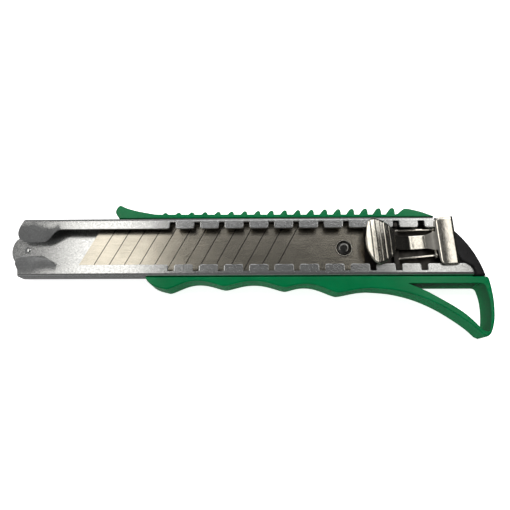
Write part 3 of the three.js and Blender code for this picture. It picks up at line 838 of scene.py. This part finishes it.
def thumb_tab():
    """The oval tab, with its rows close together at the rim."""
    middle = [0.14 + 0.06 * i for i in range(13)]
    across = [0, 0.012, 0.03, 0.055, 0.09, *middle, 0.91, 0.945, 0.97, 0.988, 1]
    rows = []
    for u in tab_stations():
        low, high = on_curve(TAB_LOW_EDGE, u), on_curve(TAB_HIGH_EDGE, u)
        to_end = 1.2 * min(u - TAB_ENDS[0], TAB_ENDS[1] - u)
        row = []
        for share in across:
            v = lerp(low, high, share)
            to_rim = max(0.0, min(v - low, high - v, to_end))
            row.append((u, v, tab_height(u, v, to_rim)))
        rows.append(row)
    points, faces = sheet_grid(rows)
    tab = make_piece("thumb_tab", moved(points, SLIDER), faces, CHROME)
    face_up(tab)
    thicken(tab, LEVER_SHEET * 0.75, offset=-1)
    soften_edges(tab, 0.12, angle=60)
    belongs(tab, "lever", "lock_lever")


def lever_band():
    """Slope, low strip, ramp and cross plate: one pressed sheet, drawn by its top face."""
    path = catmull_rom([
        (14.6, 11.0), (16.2, 10.6), (17.6, 9.9), (19, 9.2), (20.4, 8.5), (21.7, 7.95), (22.6, 7.8),
        (24, 7.8), (27.3, 7.8), (27.9, 8.0), (28.6, 8.6), (29.5, 9.45), (30.3, 10.3), (31.2, 11.05),
        (32.1, 11.38), (33, 11.49), (34.2, 11.56), (35.3, 11.6), (36.3, 11.61),
    ], 72)
    end_u, end_z, roll = 36.35, 10.8, 0.8
    for angle in np.linspace(0.15, math.pi / 2, 6):
        path.append((end_u + roll * math.sin(angle), end_z + roll * math.cos(angle)))
    path.append((end_u + roll, end_z - 0.35))
    rows = []
    for u, z in path:
        neck = smoothstep((u - 27.6) / 3)
        low, high = lerp(-2.45, -3.7, neck), lerp(2.35, 2.7, neck)
        if u > PLATE_START_U:
            corner = max(0.0, 1 - (u - PLATE_START_U) / 1.9)
            cut = 1 - math.sqrt(1 - corner ** 2)
            low, high = lerp(-9.15, -6.6, cut), lerp(7.4, 5.4, cut)
        rows.append([(u, lerp(low, high, i / 16), z) for i in range(17)])
    points, faces = sheet_grid(rows)
    band = make_piece("lever_band", moved(points, SLIDER), faces, CHROME)
    face_up(band)
    thicken(band, LEVER_SHEET * 0.9, offset=-1)
    soften_edges(band, 0.14, angle=50)
    belongs(band, "lever", "lock_lever")


def face_up(piece):
    """Turns an open sheet's faces so that they look up."""
    shape = bmesh.new()
    shape.from_mesh(piece.data)
    if sum(face.normal.z * face.calc_area() for face in shape.faces) < 0:
        bmesh.ops.reverse_faces(shape, faces=shape.faces)
    shape.to_mesh(piece.data)
    shape.free()


UPRIGHT = Matrix.Rotation(math.radians(90), 4, "X")


def side_plate(name, outline, v, turn=0.0):
    """A plate standing along the slider, its side view given in u and z, turned about its middle."""
    half, rim, pivot = 0.35, 0.15, 27.0
    points, faces = rounded_prism([outline], -half, half, rim, rim, steps=2)
    turned = Matrix.Rotation(turn, 4, "Z") @ Matrix.Translation((-pivot, 0, 0))
    place = SLIDER @ Matrix.Translation((pivot, v, 0)) @ turned
    return make_piece(name, moved(points, place @ UPRIGHT), faces, CHROME)


def round_pin(radius_u, radius_z, start, end):
    """An arc about the pin, as 12 points (u, z)."""
    angles = np.linspace(start, end, 12)
    return [(PIN_U + radius_u * math.cos(a), PIN_Z + radius_z * math.sin(a)) for a in angles]


def carrier():
    """The base under the blade, with a rail on each side that ends in an ear round the pin."""
    corners = (
        (-5, -4.5, 2), (-2, -CARRIER_HALF, 2), (33.6, -9.9, 0.8), (33.6, -1, 0.8),
        (29.6, CARRIER_HALF, 0.8), (-2, CARRIER_HALF, 2), (-5, 4.5, 2),
    )
    outline = rounded_corners(corners)
    points, faces = rounded_prism([outline], CARRIER_BOTTOM, CARRIER_TOP, 0.12, 0.12, steps=2)
    # The base is painted nearly black: painted shade under the rails, the strip and the blade.
    base = make_piece("carrier_base", moved(points, SLIDER), faces, PAINTED_SHADE)
    even_shading(base)
    belongs(base, "slider", "blade_carrier")
    foot = CARRIER_TOP - 0.3
    ear = round_pin(1.4, 1.65, 0, math.radians(150))
    outline = [(17.6, foot), (PIN_U + 1.4, foot), *ear, (PIN_U - 1.6, FLANGE_TOP), (18.2, FLANGE_TOP)]
    outline.append((17.7, FLANGE_TOP - 0.6))
    middle, reach, convergence = -0.5, 4.75, math.radians(1.8)
    for side, label in ((1, "upper"), (-1, "lower")):
        rail = side_plate(f"carrier_rail_{label}", outline, middle + side * reach, -side * convergence)
        even_shading(rail)
        belongs(rail, "slider", "blade_carrier")


def stud():
    """A rivet: a thin bright rim rolled over the blade round a dark polished middle."""
    middle = [
        (0.0, 6.98), (0.7, 6.98), (1.2, 6.97), (1.5, 6.94), (1.75, 6.86), (2.0, 6.7), (2.2, 6.5),
        (2.36, 6.25), (2.45, 6.0), (1.5, 6.0), (1.5, CARRIER_TOP), (0.0, CARRIER_TOP),
    ]
    rim = [(2.5, 6.37), (2.6, 6.52), (2.72, 6.6), (2.84, 6.59), (2.93, 6.5), (2.95, 6.37), (2.5, 6.37)]
    centre = Matrix.Translation((STUD_X, 0, 0))
    for label, profile, material in (("middle", middle, DARK_RIVET), ("rim", rim, CHROME)):
        points, faces = revolve(profile, 56)
        piece = make_piece(f"stud_{label}", moved(points, centre), faces, material)
        even_shading(piece)
        belongs(piece, "slider", "blade_stud")


def pin():
    """The lever's pin with peened ends."""
    half = 5.4
    head = [
        (0.0, half + 0.25), (0.35, half + 0.2), (0.68, half), (0.86, half - 0.25), (0.84, half - 0.45),
        (PIN_RADIUS, half - 0.6),
    ]
    profile = head + [(radius, -z) for radius, z in reversed(head)]
    points, faces = revolve(profile, 24)
    turned = SLIDER @ Matrix.Translation((PIN_U, -0.5, PIN_Z)) @ UPRIGHT
    rod = make_piece("pin_peened", moved(points, turned), faces, CHROME)
    even_shading(rod)
    belongs(rod, "slider", "lever_pin")


def level_block(name, x_range, y_range, z_range, top, bottom, steps):
    """A block of the lever in steel painted nearly black as painted shade, square to the channel, with
    rounded rims.
    """
    (x0, x1), (y0, y1) = x_range, y_range
    points, faces = rounded_prism([[(x0, y0), (x1, y0), (x1, y1), (x0, y1)]], *z_range, top, bottom, steps)
    block = make_piece(name, points, faces, PAINTED_SHADE)
    even_shading(block)
    belongs(block, "lever", "lock_lever")


def tooth_bar():
    """The bar with the two lock teeth, and the lugs that hang on the pin."""
    x, reach, root, bar_half, tooth_half = LOCKED_NOTCH_X, 8.4, 6.8, 0.9, 0.7
    # The bar and teeth are painted nearly black: painted shade in the notches and under the lever.
    level_block("tooth_bar", (x - bar_half, x + bar_half), (-reach, reach), (7, 7.8), 0.1, 0.1, 2)
    across_tooth = (x - tooth_half, x + tooth_half)
    for y_range, label in (((root, reach), "upper"), ((-reach, -root), "lower")):
        level_block(f"lock_tooth_{label}", across_tooth, y_range, (7.3, 8.95), 0.2, 0.05, 3)
    foot = round_pin(1.4, 1.4, math.pi, 2 * math.pi)
    outline = [*foot, (PIN_U + 1.4, 11.0), (PIN_U + 0.2, 10.6), (PIN_U - 1.4, 8.6)]
    for v, label in ((2.0, "upper"), (-3.2, "lower")):
        lug = side_plate(f"lever_lug_{label}", outline, v)
        even_shading(lug)
        belongs(lug, "lever", "lock_lever")


# ---------- CAD nodes that stay ----------

def finish_cad_nodes():
    """Gives the plain pieces, whose CAD meshes stay as they are, their materials."""
    finishes = {
        "blade": BLADE, "lock_spring": SPRING, "spring_rivet": SPRING,
        "channel_rivet_front": SPRING, "channel_rivet_rear": SPRING,
    }
    for name, material in finishes.items():
        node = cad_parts[name]
        node.data.materials.clear()
        node.data.materials.append(material)


# ---------- stage, light and camera ----------

def floor():
    """A plain pale floor. The glossy parts do not mirror it, so their sides keep their own colour."""
    half, level = 3.0, -0.0004
    corners = [(x, y, level) for x, y in ((-half, -half), (half, -half), (half, half), (-half, half))]
    mesh = bpy.data.meshes.new("floor")
    mesh.from_pydata(corners, [], [(0, 1, 2, 3)])
    ground = bpy.data.objects.new("floor", mesh)
    bpy.context.scene.collection.objects.link(ground)
    ground.visible_glossy = False
    material = bpy.data.materials.new("floor_finish")
    material.use_nodes = True
    shader = material.node_tree.nodes["Principled BSDF"]
    shader.inputs["Base Color"].default_value = (0.93, 0.93, 0.93, 1)
    shader.inputs["Roughness"].default_value = 1
    shader.inputs["Specular IOR Level"].default_value = 0
    shader.inputs["Emission Color"].default_value = (1, 1, 1, 1)
    shader.inputs["Emission Strength"].default_value = 0.9
    mesh.materials.append(material)


def softbox(name, across, behind, height, radiance, colour=(1, 1, 1)):
    """A level panel over the knife, its ranges of X and Y in metres; radiance is that of its lit face."""
    lamp = bpy.data.lights.new(name, "AREA")
    lamp.shape = "RECTANGLE"
    lamp.size, lamp.size_y = across[1] - across[0], behind[1] - behind[0]
    lamp.energy = radiance * lamp.size * lamp.size_y * math.pi
    lamp.color = colour
    holder = bpy.data.objects.new(name, lamp)
    bpy.context.scene.collection.objects.link(holder)
    holder.location = (sum(across) / 2, sum(behind) / 2, height)
    return holder


def surroundings(tree, background):
    """Dim overhead and below, brighter round the horizon, and darker on the right than on the left."""
    directions = tree.nodes.new("ShaderNodeTexCoord")
    axes = tree.nodes.new("ShaderNodeSeparateXYZ")
    tree.links.new(directions.outputs["Generated"], axes.inputs["Vector"])
    height = tree.nodes.new("ShaderNodeMapRange")
    height.inputs["From Min"].default_value = -1
    tree.links.new(axes.outputs["Z"], height.inputs["Value"])
    bands = tree.nodes.new("ShaderNodeValToRGB")
    for _ in range(2):
        bands.color_ramp.elements.new(0.5)
    greys = ((0.47, 0.1), (0.52, 0.34), (0.6, 0.16), (0.72, 0.085))
    for element, (position, grey) in zip(bands.color_ramp.elements, greys):
        element.position = position
        element.color = (grey, grey, grey, 1)
    tree.links.new(height.outputs["Result"], bands.inputs["Fac"])
    side = tree.nodes.new("ShaderNodeMapRange")
    for name, value in (("From Min", -0.6), ("From Max", 0.55), ("To Min", 1.9), ("To Max", 0.15)):
        side.inputs[name].default_value = value
    tree.links.new(axes.outputs["X"], side.inputs["Value"])
    tree.links.new(bands.outputs["Color"], background.inputs["Color"])
    tree.links.new(side.outputs["Result"], background.inputs["Strength"])


def light():
    """Bright panels left and right, with a dim gap that the flat metal mirrors, and a soft fill."""
    world = bpy.data.worlds.new("studio")
    bpy.context.scene.world = world
    world.use_nodes = True
    background = world.node_tree.nodes["Background"]
    surroundings(world.node_tree, background)
    warm = (1, 0.98, 0.94)
    softbox("left_panel", (-0.297, -0.165), (-0.03, 0.27), 0.55, 1.85, warm)
    softbox("right_panel", (0.195, 0.285), (-0.03, 0.33), 0.55, 1.45, warm)
    softbox("back_panel", (-0.12, 0.35), (0.21, 0.5), 0.5, 1.0)
    fill = softbox("fill", (-0.2, 0.3), (0.15, 0.55), 0.7, 8.0)
    fill.visible_glossy = False
    bpy.context.scene.view_settings.view_transform = "Standard"


CAMERA_PLACE = (5.77, -48.32, 181.11)
CAMERA_AZIMUTH, CAMERA_ELEVATION, CAMERA_ROLL = (math.radians(angle) for angle in (6.58, 75.15, -6.66))
CAMERA_LENS = 36.63


def camera():
    """The photograph was taken from close by, looking down a little from the blade's cutting side."""
    forward = Vector((-math.sin(CAMERA_AZIMUTH) * math.cos(CAMERA_ELEVATION),
                      math.cos(CAMERA_AZIMUTH) * math.cos(CAMERA_ELEVATION), -math.sin(CAMERA_ELEVATION)))
    right = Vector((math.cos(CAMERA_AZIMUTH), math.sin(CAMERA_AZIMUTH), 0))
    turned = Matrix.Rotation(CAMERA_ROLL, 3, -forward) @ right
    up = turned.cross(forward)
    data = bpy.data.cameras.new("camera")
    data.lens = CAMERA_LENS
    data.sensor_width = 36
    data.clip_start = 0.005
    holder = bpy.data.objects.new("camera", data)
    bpy.context.scene.collection.objects.link(holder)
    rotation = Matrix((turned, up, -forward)).transposed()
    holder.matrix_world = Matrix.Translation(Vector(CAMERA_PLACE) * MM) @ rotation.to_4x4()
    bpy.context.scene.camera = holder


camera()
floor()
light()
blade_channel()
handle()
end_cap()
thumb_tab()
lever_band()
carrier()
stud()
pin()
tooth_bar()
finish_cad_nodes()
